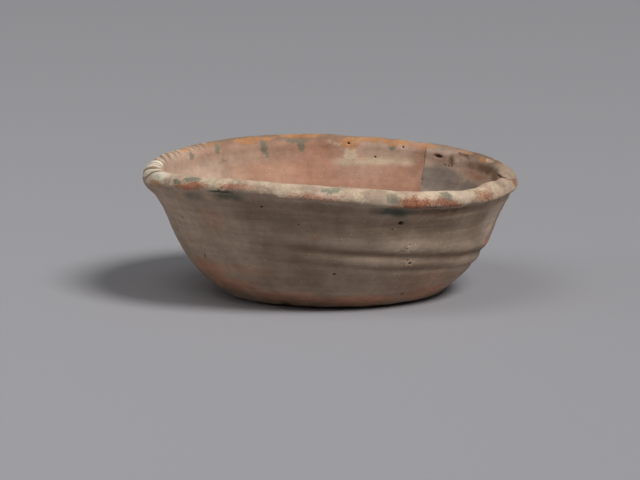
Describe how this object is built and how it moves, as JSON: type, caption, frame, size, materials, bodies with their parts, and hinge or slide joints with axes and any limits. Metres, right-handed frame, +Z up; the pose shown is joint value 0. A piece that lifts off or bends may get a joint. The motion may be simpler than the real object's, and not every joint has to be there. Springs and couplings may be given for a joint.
{
  "type": "earthenware bowl",
  "caption": "Shallow round earthenware bowl with a flat base, flaring wall and rolled, uneven lip; a broken-out sherd of wall and rim is glued back in. Holds food or small things.",
  "frame": {"origin": "centre of the flat base, on the surface that the bowl stands on", "axes": "+Z up through the mouth, -Y towards the front, +X to the right seen from the front; the glued sherd is at the back right, between +X and +Y"},
  "size_m": [0.1563, 0.1557, 0.0564],
  "materials": {
    "fired_clay": "matt, worn cream slip over pink-orange earthenware",
    "stained_clay": "matt earthenware, stained grey in the ground",
    "adhesive": "set resin adhesive, darkened with dust"
  },
  "bodies": {
    "root": {"bowl_body": "fired_clay", "rejoined_sherd": "stained_clay", "join_adhesive": "adhesive"}
  },
  "joints": []
}
